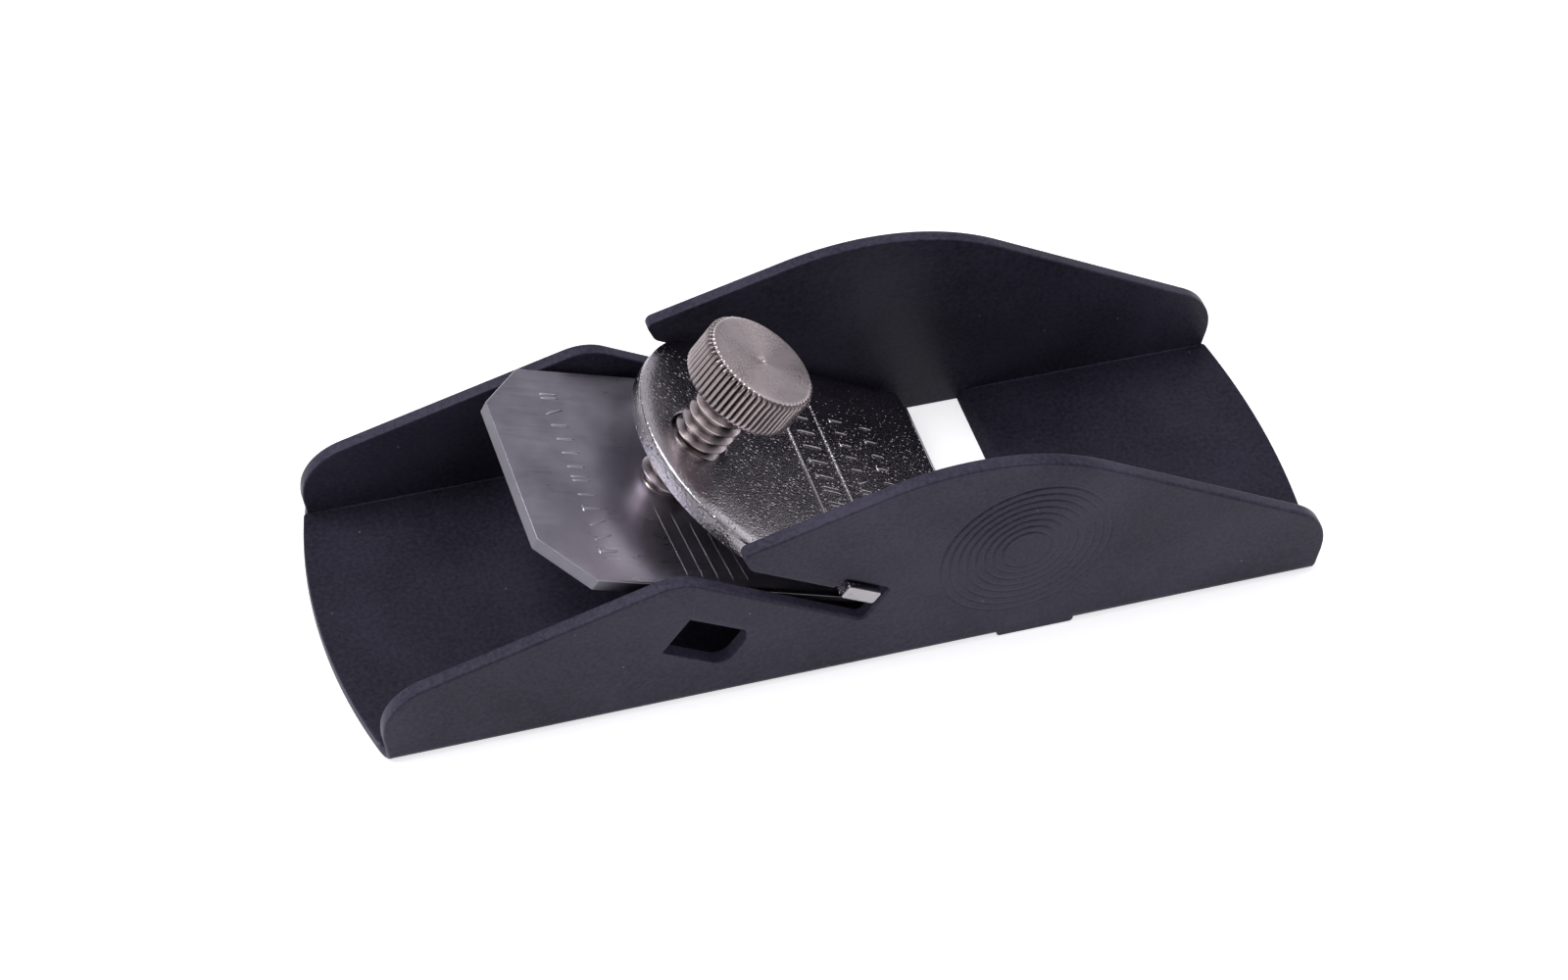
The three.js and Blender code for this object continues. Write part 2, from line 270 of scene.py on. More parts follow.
def place_on_body(point, depth):
    """Where a point of the developed sheet lies once the channel is folded."""
    side = -1 if point.y < 0 else 1
    across = abs(point.y)
    if across <= FLAT:
        y, z = across, 0.0
    elif across <= WALL:
        turn = (across - FLAT) / BEND
        y, z = FLAT + BEND * math.sin(turn), BEND * (1 - math.cos(turn))
    else:
        rise = across - WALL
        y, z = OUTSIDE - rise * math.sin(LEAN), BEND + rise * math.cos(LEAN)
    if across <= INSIDE:
        inner_y, inner_z = across, SHEET
    elif z < SHEET:
        inner_y, inner_z = INSIDE, SHEET
    else:
        inner_y, inner_z = y - SHEET, z
    share = depth / SHEET
    return Vector((
        point.x,
        side * (y + (inner_y - y) * share),
        z + (inner_z - z) * share,
    ))


def developed(z):
    return WALL + (z - BEND) / math.cos(LEAN)


def end_arc(radius, toe):
    side = 1 if toe else -1
    points = []
    for k in range(49):
        across = -WALL + 2 * WALL * k / 48
        y = abs(across)
        if y > FLAT:
            y = FLAT + BEND * math.sin((y - FLAT) / BEND)
        x = LENGTH / 2 - radius + math.sqrt(radius * radius - y * y)
        points.append(Vector((side * x, across)))
    return points if toe else points[::-1]


def cheek_line():
    """Edge of a cheek from heel to toe, as (x, z)."""
    return rounded([
        (-42.26, BEND),
        (-42.75, 3.3, 5),
        (-42.75, 7.9, 5),
        (-17.85, 16.41, 4.4),
        (*from_slope(POCKET_FRONT, SLOT_LOW), 0.5),
        (*from_slope(POCKET_FRONT, POCKET_HIGH), 0.2),
        (*from_slope(POCKET_REAR, POCKET_HIGH), 0.3),
        (*from_slope(POCKET_REAR - 0.4, SLOT_HIGH), 0.3),
        (*from_slope(-18.2, SLOT_HIGH), 1.3),
        (-12.85, 18.15, 0.7),
        (10.1, 25.65, 25),
        (43.0, 6.9, 6),
        (43.05, 3.0, 2.5),
        (42.88, BEND),
    ], closed=False)


def blank_outline():
    line = cheek_line()
    left = [Vector((p.x, developed(p.y))) for p in reversed(line)]
    right = [Vector((p.x, -developed(p.y))) for p in line]
    return end_arc(TOE_ARC, True) + left[1:-1] + end_arc(HEEL_ARC, False) + right[1:-1]


def window_outline(side):
    corners = [
        (WINDOW["rear"], WINDOW["low"], 0.15),
        (WINDOW["front"], WINDOW["low"], 1.3),
        (WINDOW["front"], WINDOW["high"], 1.9),
        (WINDOW["rear"], WINDOW["high"], 0.15),
    ]
    outline = []
    for point in rounded(corners):
        x, z = from_slope(point.x, point.y)
        outline.append(Vector((x, side * developed(z))))
    return turned_round(outline, False)


def mouth_outline(front):
    corners = [(MOUTH_REAR, -WALL), (MOUTH_REAR, WALL), (front, WALL), (front, -WALL)]
    outline = []
    for i, corner in enumerate(corners):
        a, b = Vector(corner), Vector(corners[(i + 1) % 4])
        outline += [a.lerp(b, k / 24) for k in range(24)]
    return turned_round(outline, False)


def grip_depth(radius):
    nearest = min(abs(radius - ring) for ring in GRIP_RINGS)
    if nearest > GRIP_HALF_WIDTH:
        return 0.0
    return GRIP_DEPTH * (0.5 + 0.5 * math.cos(math.pi * nearest / GRIP_HALF_WIDTH))


def finger_grip(bm, side):
    """Concentric grooves, deepest above and to the rear; returns the ring at their rim."""
    around = 160
    centre = Vector((GRIP_X, side * developed(GRIP_Z)))
    spokes = [
        Vector((math.cos(2 * math.pi * k / around), math.sin(2 * math.pi * k / around)))
        for k in range(around)
    ]
    pressed = [
        GRIP_EVEN + (1 - GRIP_EVEN) * (0.8 * side * spoke.y - 0.6 * spoke.x) for spoke in spokes
    ]
    radius = GRIP_EDGE
    before = rim = None
    while radius > 1.6:
        depth = grip_depth(radius)
        flat = [centre + spoke * radius for spoke in spokes]
        row = [
            bm.verts.new(place_on_body(point, depth * share)) for point, share in zip(flat, pressed)
        ]
        if before is None:
            rim = list(zip(flat, row))
        else:
            bridge(bm, before, row)
        before = row
        radius -= 0.05
    bm.faces.new(before)
    return rim


def tab(bm, side):
    """Tongue lanced from the cheek and folded in to carry the cutter."""
    rear, front = WINDOW["rear"] + 0.04, WINDOW["front"] - 0.3
    under, top, corner = TAB_TOP - SHEET, TAB_TOP, 1.9
    sections = []
    for k in range(25):
        s = rear + (front - rear) * k / 24
        past = max(0.0, s - (front - corner))
        end = INSIDE - TAB_REACH + corner - math.sqrt(corner * corner - past * past)
        outline = rounded([
            (OUTSIDE - 0.05, top + 0.35),
            (OUTSIDE - 0.05, under, 0.65),
            (end, under, 0.25),
            (end, top, 0.2),
            (INSIDE + 0.05, top, 0.12),
            (INSIDE + 0.05, top + 0.35),
        ], step=0.1)
        section = []
        for point in outline:
            x, z = from_slope(s, point.y)
            section.append(Vector((x, side * (point.x - (z - BEND) * math.tan(LEAN)), z)))
        sections.append(section)
    loft(bm, sections)


def lip(bm, side):
    """Foot of the cheek beside the mouth, where the sheet is not folded."""
    low, high = INSIDE + 0.01, OUTSIDE
    outline = rounded([
        (low, 0.0, 0.1),
        (high, 0.0, 0.18),
        (high, 1.32),
        (high - 0.4, 1.9),
        (low + 0.4, 1.9),
        (low, 1.32),
    ], step=0.1)
    sections = []
    rear, front, corner = MOUTH_REAR - 0.15, MOUTH_FRONT + MOUTH_RAKE + 0.15, 0.35
    for k in range(-6, 7):
        turn = math.pi / 2 * k / 6
        inset = corner * (1 - math.cos(turn))
        x = (rear + corner if k < 0 else front - corner) + corner * math.sin(turn)
        section = []
        for point in outline:
            z = point.y + inset * max(0.0, 1 - point.y / 1.3)
            section.append(Vector((x, side * point.x, z)))
        sections.append(section)
    loft(bm, sections)


def build_body(paints):
    bm = bmesh.new()
    rims = [finger_grip(bm, side) for side in (-1, 1)]
    outline = blank_outline()
    mouth_below, mouth_above = mouth_outline(MOUTH_FRONT), mouth_outline(MOUTH_FRONT + MOUTH_RAKE)
    windows = [window_outline(side) for side in (-1, 1)]
    loops = [(outline, outline, 0.3, 0.16), (mouth_below, mouth_above, 0.12, 0.1)]
    loops += [(window, window, 0.07, 0.05) for window in windows]
    reach = LENGTH / 2 + 1
    bends = [FLAT + BEND * math.pi / 2 * k / 6 for k in range(7)]
    outer_creases = [((-reach, s * b), (reach, s * b)) for s in (-1, 1) for b in bends]
    folds = (INSIDE, developed(SHEET))
    inner_creases = [((-reach, s * b), (reach, s * b)) for s in (-1, 1) for b in folds]
    slab(bm, loops, place_on_body, SHEET, (outer_creases, inner_creases), rims)
    for side in (-1, 1):
        tab(bm, side)
        lip(bm, side)
        foot = side * (INSIDE - 0.03)
        for start, end in ((-42.3, MOUTH_REAR - 0.2), (MOUTH_FRONT + 1.1, 42.7)):
            bead(bm, (start, foot), (end, foot), PAINT_FILLET, SHEET)
    bm.normal_update()
    for face in bm.faces:             # cut edges take the second, lighter paint: partly worn paint, partly painted highlight
        middle, normal = face.calc_center_median(), face.normal
        on_cheek = middle.z > 1.35 and abs(middle.y) > INSIDE - 0.45 and abs(normal.y) < 0.75
        on_end = abs(middle.x) > 42 and abs(normal.x) > 0.6
        # painted highlight: the strip and paint fillet along the inner corner take the lighter paint
        in_corner = SHEET - 0.01 < middle.z < SHEET + 0.2 and abs(middle.y) > INSIDE - 0.2
        face.material_index = 1 if on_cheek or on_end or in_corner else 0
    return piece("channel_shell", bm, "body", "body", paints)


# --------------------------------------------------------------------- cutter

def bead(bm, start, end, radius, height):
    """Fine raised stroke between two points of a face; height is the face's level."""
    a, b = Vector((*start, 0)), Vector((*end, 0))
    along = (b - a).normalized()
    across = Vector((-along.y, along.x, 0))
    sections = []
    for t, swell in ((0, 0.35), (0.06, 0.85), (0.14, 1), (0.86, 1), (0.94, 0.85), (1, 0.35)):
        centre = a.lerp(b, t)
        section = []
        for k in range(7):
            turn = math.pi * k / 6
            lift = math.sin(turn) * radius * swell
            point = centre + across * math.cos(turn) * radius * swell
            section.append(Vector((point.x, point.y, height - 0.03 + lift)))
        sections.append(section)
    loft(bm, sections)


def strokes(rng, along, count, width, reach):
    """Generic marks in a row: short upright and slanted bars, no letters."""
    marks = []
    for k in range(count):
        middle = -reach + 2 * reach * (k + 0.5) / count
        kind = rng.choice(("upright", "upright", "slant", "pair", "cross"))
        half = width / 2
        if kind == "slant":
            marks.append(((along - half, middle - 0.3), (along + half, middle + 0.3)))
            continue
        marks.append(((along - half, middle), (along + half, middle)))
        if kind == "pair":
            marks.append(((along - half, middle + 0.45), (along + half, middle + 0.45)))
        if kind == "cross":
            marks.append(((along - half, middle - 0.35), (along - half, middle + 0.35)))
    return marks


def build_cutter(steels):
    c = CUTTER
    half, length = c["width"] / 2, c["length"]
    outline = rounded([
        (0, -half), (0, half),
        (-length + c["clip"], half, 0.3), (-length, half - c["clip"], 0.3),
        (-length, -half + c["clip"], 0.3), (-length + c["clip"], -half, 0.3),
    ])
    outline = turned_round(outline, True)

    def place(point, depth):
        rise = max(0.0, -point.x) * (c["thickness"] - c["land"]) / c["bevel"]
        top = min(c["thickness"], c["land"] + rise)
        return Vector((point.x, point.y, top * depth / c["thickness"]))

    bm = bmesh.new()
    crease = ((-c["bevel"], -half - 1), (-c["bevel"], half + 1))
    slab(bm, [(outline, outline, 0.05, 0.07)], place, c["thickness"], ((), (crease,)))
    bm.normal_update()
    for face in bm.faces:             # sheared sides are duller than the ground faces
        face.material_index = 1 if abs(face.normal.z) < 0.5 else 0
    rng = random.Random(5)
    for start, end in strokes(rng, -length + 6.4, 12, 1.7, 9.4):
        bead(bm, start, end, 0.13, c["thickness"] + 0.01)
    for k in range(5):                # long grinding marks near one side
        along = -length + 12.5 + 1.45 * k
        start, end = (along, -3.0 - 0.9 * k), (along + 0.7, -half + 0.8)
        bead(bm, start, end, 0.02, c["thickness"] + 0.022)
    frame = Matrix.Translation((EDGE_X, 0, EDGE_Z)) @ Matrix.Rotation(BED, 4, "Y")
    return piece("cutter_plate", bm, "blade", "blade", steels, 30, frame)


# ------------------------------------------------------------------ lever cap

def cap_outline(inset=0.0):
    radius = CAP_RADIUS
    sweep = math.asin(CAP_HALF / radius)
    points = []
    for k in range(97):
        angle = math.pi - sweep + 2 * sweep * k / 96
        points.append(Vector((
            CAP_REAR + radius + (radius - inset) * math.cos(angle),
            (radius - inset) * math.sin(angle),
        )))
    side = CAP_HALF - 0.4 * inset
    corners = rounded([
        (points[-1].x, -side), (CAP_NOSE, -side, 0.3), (CAP_NOSE, side, 0.3), (points[0].x, side),
    ], closed=False)
    line = points + corners[1:-1]
    even = []
    for i, here in enumerate(line):
        there = line[(i + 1) % len(line)]
        steps = max(1, round((there - here).length / 0.5))
        even += [here.lerp(there, k / steps) for k in range(steps)]
    return turned_round(even, True)


def cap_under(s):
    """Underside: flat, then following the cutter up to the nose."""
    lean = SLOPE - BED
    base = 1.2 + 0.2 / math.cos(BED) + MOUTH_REAR * math.tan(BED)
    clear = (base * math.cos(BED) + 1.2 + s * math.sin(lean)) / math.cos(lean) + 0.2
    return max(CAP_UNDER, clear)


def build_cap(chromes):
    outline = cap_outline()
    thickness = CAP_TOP - CAP_UNDER
    rear = Vector((CAP_REAR + CAP_RADIUS, 0))

    def from_rim(point):
        if point.x < rear.x:
            return min(CAP_RADIUS - (point - rear).length, CAP_HALF - abs(point.y) + 4)
        return CAP_HALF - abs(point.y)

    def place(point, depth):
        under = cap_under(point.x)
        rim = max(0.0, 1 - max(0.0, from_rim(point)) / 4.0)
        roll = max(0.0, 1 - max(0.0, from_rim(point)) / 0.9)
        top = CAP_TOP - CAP_CROWN * rim * rim - CAP_ROLL * roll * roll
        share = depth / thickness
        pull = 0.12 * (1 - share) if point.x < rear.x else 0.0
        way = (rear - point).normalized() * pull * (1 if from_rim(point) < 1.0 else 0)
        return Vector((point.x + way.x, point.y + way.y, under + (top - under) * share))

    hole = [
        Vector((SCREW_S + CAP_HOLE * math.cos(a), CAP_HOLE * math.sin(a)))
        for a in (-2 * math.pi * k / 64 for k in range(64))
    ]
    bm = bmesh.new()
    grid = []
    s = CAP_REAR + 0.4
    while s < CAP_NOSE - 0.3:
        y = -CAP_HALF + 0.4
        while y < CAP_HALF - 0.3:
            point = Vector((s, y))
            if from_rim(point) > 0.6 and (point - Vector((SCREW_S, 0))).length > CAP_HOLE + 0.5:
                grid.append(point)
            y += 0.45
        s += 0.45
    loops = [(outline, outline, 0.15, 0.2), (hole, hole, 0.1, 0.18)]
    creases = [((k, -CAP_HALF), (k, CAP_HALF)) for k in (-0.4, 3.0, 6.0)]
    slab(bm, loops, place, thickness, (creases, ()), (), ((), grid))

    lug_rear, lug_front = POCKET_REAR + 0.3, POCKET_REAR + 4.0
    lug_top, lug_low = POCKET_HIGH - 0.2, POCKET_HIGH - 1.7
    for side in (-1, 1):
        sections = []
        for y, shrink in ((11.5, 0), (14.05, 0), (14.3, 0.08), (14.4, 0.25)):
            profile = rounded([
                (lug_rear + shrink, lug_low + shrink, 0.25),
                (lug_front - shrink, lug_low + shrink, 0.25),
                (lug_front - shrink, lug_top - shrink, 0.25),
                (lug_rear + shrink, lug_top - shrink, 0.25),
            ], step=0.1)
            sections.append([Vector((p.x, side * y, p.y)) for p in profile])
        loft(bm, sections)

    for s in (-8.1, -4.05):
        bead(bm, (s, -11.0), (s, 11.0), 0.2, CAP_TOP)
    rng = random.Random(11)
    for start, end in strokes(rng, -6.07, 11, 2.0, 9.6):
        bead(bm, start, end, 0.16, CAP_TOP)
    for s, count in ((-1.7, 9), (1.7, 8)):
        for start, end in strokes(rng, s, count, 1.3, 6.5):
            bead(bm, start, end, 0.13, CAP_TOP)
    bm.normal_update()
    for face in bm.faces:
        # painted shade: the lugs take the darker rim copy for the shade in the cheeks' pockets; the
        # cast side walls take it as their duller finish
        beyond = abs(face.calc_center_median().y) > CAP_HALF      # lugs
        face.material_index = 1 if beyond or abs(face.normal.z) < 0.5 else 0
    return piece("cap_casting", bm, "lever_cap", "lever_cap", chromes, 40,
                 slope_frame())


# ---------------------------------------------------------------- thumb screw

def thread_radius(turn, n):
    """Radius of the right-hand thread at an angle and height."""
    phase = (n / PITCH - turn / (2 * math.pi)) % 1.0
    slope = 1 - abs(2 * phase - 1)
    return ROOT + (CREST - ROOT) * min(1.0, max(0.0, 1.6 * slope - 0.4))


def threaded(bm, low, high, around=96, tip=None, rows=16):
    """Threaded rod whose rows of faces follow the helix."""
    first = math.floor(low / PITCH - 1) * rows
    last = math.ceil(high / PITCH) * rows
    before = None
    for k in range(first, last + 1):
        row = []
        for i in range(around + 1):
            turn = 2 * math.pi * i / around
            n = min(high, max(low, PITCH * (k / rows + turn / (2 * math.pi))))
            radius = thread_radius(turn, n)
            if tip is not None:
                radius = min(radius, tip + (n - low) * 1.1)
            row.append(bm.verts.new((radius * math.cos(turn), radius * math.sin(turn), n)))
        if before is not None:
            for i in range(around):
                bm.faces.new((before[i], before[i + 1], row[i + 1], row[i]))
        before = row
    bmesh.ops.remove_doubles(bm, verts=bm.verts, dist=0.003)
    bmesh.ops.dissolve_degenerate(bm, edges=bm.edges, dist=0.001)
    bmesh.ops.holes_fill(bm, edges=[edge for edge in bm.edges if edge.is_boundary], sides=0)


def knurl_radius(turn):
    """Straight ribs with flat crests and rounded valleys."""
    wave = 0.5 + 0.5 * math.cos(turn * RIBS)
    return HEAD_RADIUS - RIB_DEPTH * (1 - wave) ** 2.6


def build_screw(nickel):
    bm = bmesh.new()
    low, top = HEAD_TOP - HEAD_HEIGHT, HEAD_TOP
    around = RIBS * STEPS_PER_RIB
    rng = random.Random(3)
    burr = [rng.random() ** 4 for _ in range(RIBS)]
    # (radius, height, share of the rib depth) from the underside to the pip in the face
    profile = [
        (3.0, low, 0),
        (HEAD_RADIUS - 0.45, low, 0),
        (HEAD_RADIUS - 0.3, low + 0.06, 0.3),
        (HEAD_RADIUS, low + 0.4, 1),
    ]
    profile += [(HEAD_RADIUS, low + 0.4 + (HEAD_HEIGHT - 0.85) * k / 6, 1) for k in range(1, 7)]
    profile += [
        (HEAD_RADIUS - 0.1, top - 0.3, BURR_ROW),
        (HEAD_RADIUS - 0.33, top - 0.08, 0.25),
        (HEAD_RADIUS - 0.45, top - 0.01, 0),
        (HEAD_RADIUS - 0.6, top, 0),
    ]
    profile += [
        (radius, top - 0.04 * math.cos(radius * math.pi / 10), 0)
        for radius in (4.2, 3.6, 3.0, 2.4, 1.8, 1.2, 0.7, 0.42)
    ]
    profile += [(0.3, top - 0.1, 0), (0.16, top - 0.24, 0)]
    rows = []
    for base, n, share in profile:
        row = []
        for i in range(around):
            turn = 2 * math.pi * i / around
            radius = base + (knurl_radius(turn) - HEAD_RADIUS) * share
            if share == BURR_ROW:
                radius += 0.09 * burr[(i + STEPS_PER_RIB // 2) // STEPS_PER_RIB % RIBS]
            row.append(Vector((radius * math.cos(turn), radius * math.sin(turn), n)))
        rows.append(row)
    loft(bm, rows)
    foot = low - COLLAR_HEIGHT
    collar = [
        (ROOT, low + 0.2),
        (COLLAR_RADIUS, low + 0.1),
        (COLLAR_RADIUS, foot + 0.2),
        (COLLAR_RADIUS - 0.12, foot + 0.04),
        (COLLAR_RADIUS - 0.35, foot),
        (ROOT - 0.2, foot),
    ]
    turns = [2 * math.pi * i / 64 for i in range(64)]
    loft(bm, [
        [Vector((radius * math.cos(turn), radius * math.sin(turn), n)) for turn in turns]
        for radius, n in collar
    ])
    threaded(bm, SPLIT + JOINT_GAP, foot + 0.3)
    frame = slope_frame() @ Matrix.Translation((SCREW_S, 0, 0))
    return piece("knurled_screw", bm, "thumb_screw", "thumb_screw", [nickel], 38, frame)


def build_tip(nickel):
    bm = bmesh.new()
    threaded(bm, TIP, SPLIT - JOINT_GAP, tip=TIP_RADIUS)
    frame = slope_frame() @ Matrix.Translation((SCREW_S, 0, 0))
    return piece("screw_tip", bm, "screw_point", "screw_point", [nickel], 38, frame)


# ------------------------------------------------------------------ materials

class Nodes:
    """Short way to wire a procedural material."""

    def __init__(self, name):
        self.material = bpy.data.materials.new(name)
        self.material.use_nodes = True
        self.tree = self.material.node_tree
        self.shader = self.tree.nodes["Principled BSDF"]
        coordinates = self.tree.nodes.new("ShaderNodeTexCoord")
        self.position = coordinates.outputs["Object"]

    def link(self, source, target):
        self.tree.links.new(source, target)

    def scaled(self, factors, turn):
        node = self.tree.nodes.new("ShaderNodeMapping")
        node.inputs["Rotation"].default_value = (0, turn, 0)
        node.inputs["Scale"].default_value = factors
        self.link(self.position, node.inputs["Vector"])
        return node.outputs["Vector"]

    def noise(self, scale, detail, rough=0.55, vector=None):
        node = self.tree.nodes.new("ShaderNodeTexNoise")
        node.inputs["Scale"].default_value = scale
        node.inputs["Detail"].default_value = detail
        node.inputs["Roughness"].default_value = rough
        self.link(self.position if vector is None else vector, node.inputs["Vector"])
        return node.outputs["Fac"]

    def cells(self, scale):
        node = self.tree.nodes.new("ShaderNodeTexVoronoi")
        node.inputs["Scale"].default_value = scale
        self.link(self.position, node.inputs["Vector"])
        return node.outputs["Distance"]

    def spread(self, value, low, high, start, end):
        node = self.tree.nodes.new("ShaderNodeMapRange")
        for key, number in zip(("From Min", "From Max", "To Min", "To Max"), (low, high, start, end)):
            node.inputs[key].default_value = number
        self.link(value, node.inputs["Value"])
        return node.outputs["Result"]

    def math(self, kind, a, b):
        node = self.tree.nodes.new("ShaderNodeMath")
        node.operation = kind
        for socket, value in zip(node.inputs, (a, b)):
            if isinstance(value, (int, float)):
                socket.default_value = value
            else:
                self.link(value, socket)
        return node.outputs["Value"]

    def vector(self, kind, value, other, output="Vector"):
        node = self.tree.nodes.new("ShaderNodeVectorMath")
        node.operation = kind
        self.link(value, node.inputs[0])
        if other is not None:
            node.inputs[1].default_value = other
        return node.outputs[output]

    def mixed(self, share, colour, other):
        node = self.tree.nodes.new("ShaderNodeMix")
        node.data_type = "RGBA"
        self.link(share, node.inputs[0])
        self.link(colour, node.inputs[6])
        node.inputs[7].default_value = (*other, 1)
        return node.outputs[2]

    def colours(self, value, *stops):
        node = self.tree.nodes.new("ShaderNodeValToRGB")
        ramp = node.color_ramp
        while len(ramp.elements) < len(stops):
            ramp.elements.new(0.5)
        for element, (place, colour) in zip(ramp.elements, stops):
            element.position = place
            element.color = (*colour, 1)
        self.link(value, node.inputs["Fac"])
        return node.outputs["Color"]

    def bump(self, height, strength, distance, below=None):
        node = self.tree.nodes.new("ShaderNodeBump")
        node.inputs["Strength"].default_value = strength
        node.inputs["Distance"].default_value = distance
        self.link(height, node.inputs["Height"])
        if below is not None:
            self.link(below, node.inputs["Normal"])
        return node.outputs["Normal"]


def black_paint(name, lift):
    """Satin paint; lift brightens it for the lighter copy on cut edges, which is partly worn paint and
    partly painted highlight.
    """
    n = Nodes(name)
    grain = n.noise(2600, 3, 0.6)
    cloud = n.noise(90, 3, 0.5)
    dust = n.spread(n.cells(330), 0.0, 0.05, 1.0, 0.0)
    low = tuple(lift * part for part in (0.0165, 0.0152, 0.0245))
    high = tuple(lift * part for part in (0.0350, 0.0322, 0.0505))
    mottle = n.math("ADD", n.math("MULTIPLY", cloud, 0.5), n.math("MULTIPLY", grain, 0.5))
    colour = n.colours(mottle, (0.38, low), (0.62, high))
    n.link(n.mixed(n.math("MULTIPLY", dust, 0.6), colour, (0.20, 0.19, 0.215)),
           n.shader.inputs["Base Color"])
    n.link(n.spread(n.math("ADD", grain, n.math("MULTIPLY", cloud, 0.5)), 0.5, 1.1, 0.34, 0.5),
           n.shader.inputs["Roughness"])
    fine = n.bump(grain, 0.4, 0.00003)
    n.link(n.bump(dust, 0.25, 0.00003, fine), n.shader.inputs["Normal"])
    n.shader.inputs["Specular IOR Level"].default_value = 0.08
    return n.material


def ground_steel(name, shade, rough):
    """Grey steel with fine streaks across the cutter."""
    n = Nodes(name)
    streaks = n.noise(1.0, 5, 0.65, n.scaled((260, 4200, 260), turn=-BED))
    cloud = n.noise(170, 5, 0.65)
    low = tuple(shade * part for part in (0.30, 0.29, 0.335))
    high = tuple(shade * part for part in (0.39, 0.38, 0.43))
    n.link(n.colours(cloud, (0.3, low), (0.72, high)), n.shader.inputs["Base Color"])
    n.shader.inputs["Metallic"].default_value = 1.0
    n.link(n.spread(n.math("ADD", streaks, cloud), 0.7, 1.3, rough, rough + 0.09),
           n.shader.inputs["Roughness"])
    n.link(n.bump(streaks, 0.035, 0.00002, n.bump(n.noise(1900, 3), 0.16, 0.00002)),
           n.shader.inputs["Normal"])
    return n.material


def plated_casting(name, shade, coarseness, rough):
    """Bright plating over the pebbles of a casting."""
    n = Nodes(name)
    pebbles = n.noise(5200 / coarseness, 3, 0.6)
    pits = n.spread(n.cells(2400 / coarseness), 0.0, 0.3, 0.0, 1.0)
    cloud = n.noise(240, 3)
    low = tuple(shade * part for part in (0.54, 0.515, 0.545))
    high = tuple(shade * part for part in (0.66, 0.635, 0.66))
    n.link(n.colours(cloud, (0.3, low), (0.7, high)), n.shader.inputs["Base Color"])
    n.shader.inputs["Metallic"].default_value = 1.0
    n.link(n.spread(cloud, 0.3, 0.7, rough, rough + 0.07), n.shader.inputs["Roughness"])
    cast = n.bump(pebbles, 0.75, 0.00005 * coarseness)
    n.link(n.bump(pits, 0.8, 0.00005 * coarseness, cast), n.shader.inputs["Normal"])
    return n.material


def nickel_plate():
    """Turned nickel with a radial sheen; grime and painted shade darken the knurl and the valleys
    between ribs and threads.
    """
    n = Nodes("nickel_plate")
    centre = from_slope(SCREW_S, 0)
    split = n.vector("SUBTRACT", n.position, (centre[0] * MM, 0, centre[1] * MM))
    cross = n.vector("CROSS_PRODUCT", split, SCREW_AXIS)
    radius = n.vector("LENGTH", cross, None, "Value")
    turned = n.math("SINE", n.math("MULTIPLY", radius, 2 * math.pi / TURNING_FEED), 0)
    wear = n.noise(420, 5, 0.6)
    colour = n.colours(wear, (0.3, (0.55, 0.49, 0.49)), (0.7, (0.62, 0.555, 0.555)))
    # partly grime, partly painted shade: darker in the thread valleys and over the knurl, most in the
    # rib valleys
    thread_grime_and_shade = n.spread(radius, ROOT * MM, (CREST - 0.08) * MM, 0.75, 0.0)
    rib_grime_and_shade = n.spread(radius, (HEAD_RADIUS - RIB_DEPTH) * MM, HEAD_RADIUS * MM, 0.97, 0.5)
    on_rim = n.math("GREATER_THAN", radius, (HEAD_RADIUS - 0.34) * MM)
    knurl_grime_and_shade = n.math("MULTIPLY", rib_grime_and_shade, on_rim)
    in_thread = n.math("MULTIPLY", thread_grime_and_shade, n.math("GREATER_THAN", radius, (ROOT - 0.05) * MM))
    height = n.vector("DOT_PRODUCT", n.position, SCREW_AXIS, "Value")
    below_head = n.math("LESS_THAN", height, (HEAD_TOP - 0.12) * MM)
    grime_and_shade = n.math("MULTIPLY", n.math("MAXIMUM", in_thread, knurl_grime_and_shade), below_head)
    # dark colour of the grime and painted shade
    n.link(n.mixed(grime_and_shade, colour, (0.10, 0.080, 0.080)), n.shader.inputs["Base Color"])
    n.shader.inputs["Metallic"].default_value = 1.0
    n.link(n.spread(wear, 0.3, 0.7, 0.24, 0.31), n.shader.inputs["Roughness"])
    n.shader.inputs["Anisotropic"].default_value = 0.8
    n.link(split, n.shader.inputs["Tangent"])
    rings = n.bump(turned, 0.3, 0.00001)
    n.link(n.bump(n.noise(3000, 3), 0.12, 0.00002, rings), n.shader.inputs["Normal"])
    return n.material


def pale_floor():
    n = Nodes("pale_floor")
    cloud = n.noise(14, 3)
    colour = n.colours(cloud, (0.3, (0.90, 0.90, 0.905)), (0.7, (0.93, 0.93, 0.935)))
    n.link(colour, n.shader.inputs["Base Color"])
    n.link(n.spread(cloud, 0.3, 0.7, 0.75, 0.85), n.shader.inputs["Roughness"])
    n.link(colour, n.shader.inputs["Emission Color"])
    n.shader.inputs["Emission Strength"].default_value = 0.64
    return n.material


# --------------------------------------------------------------- surroundings

def build_floor(material):
    bm = bmesh.new()
    bmesh.ops.create_grid(bm, x_segments=24, y_segments=24, size=1.6)
    for vertex in bm.verts:
        vertex.co.z = -0.00002
    mesh = bpy.data.meshes.new("studio_floor")
    bm.to_mesh(mesh)
    bm.free()
    mesh.materials.append(material)
    floor = bpy.data.objects.new("studio_floor", mesh)
    bpy.context.scene.collection.objects.link(floor)


def area_light(name, place, target, size, power, colour=(1, 1, 1)):
    light = bpy.data.lights.new(name, "AREA")
    light.shape = "RECTANGLE"
    light.size, light.size_y = size
    light.energy = power
    light.color = colour
    obj = bpy.data.objects.new(name, light)
    obj.location = place
    way = Vector(target) - Vector(place)
    obj.rotation_euler = way.to_track_quat("-Z", "Y").to_euler()
    bpy.context.scene.collection.objects.link(obj)
    return obj


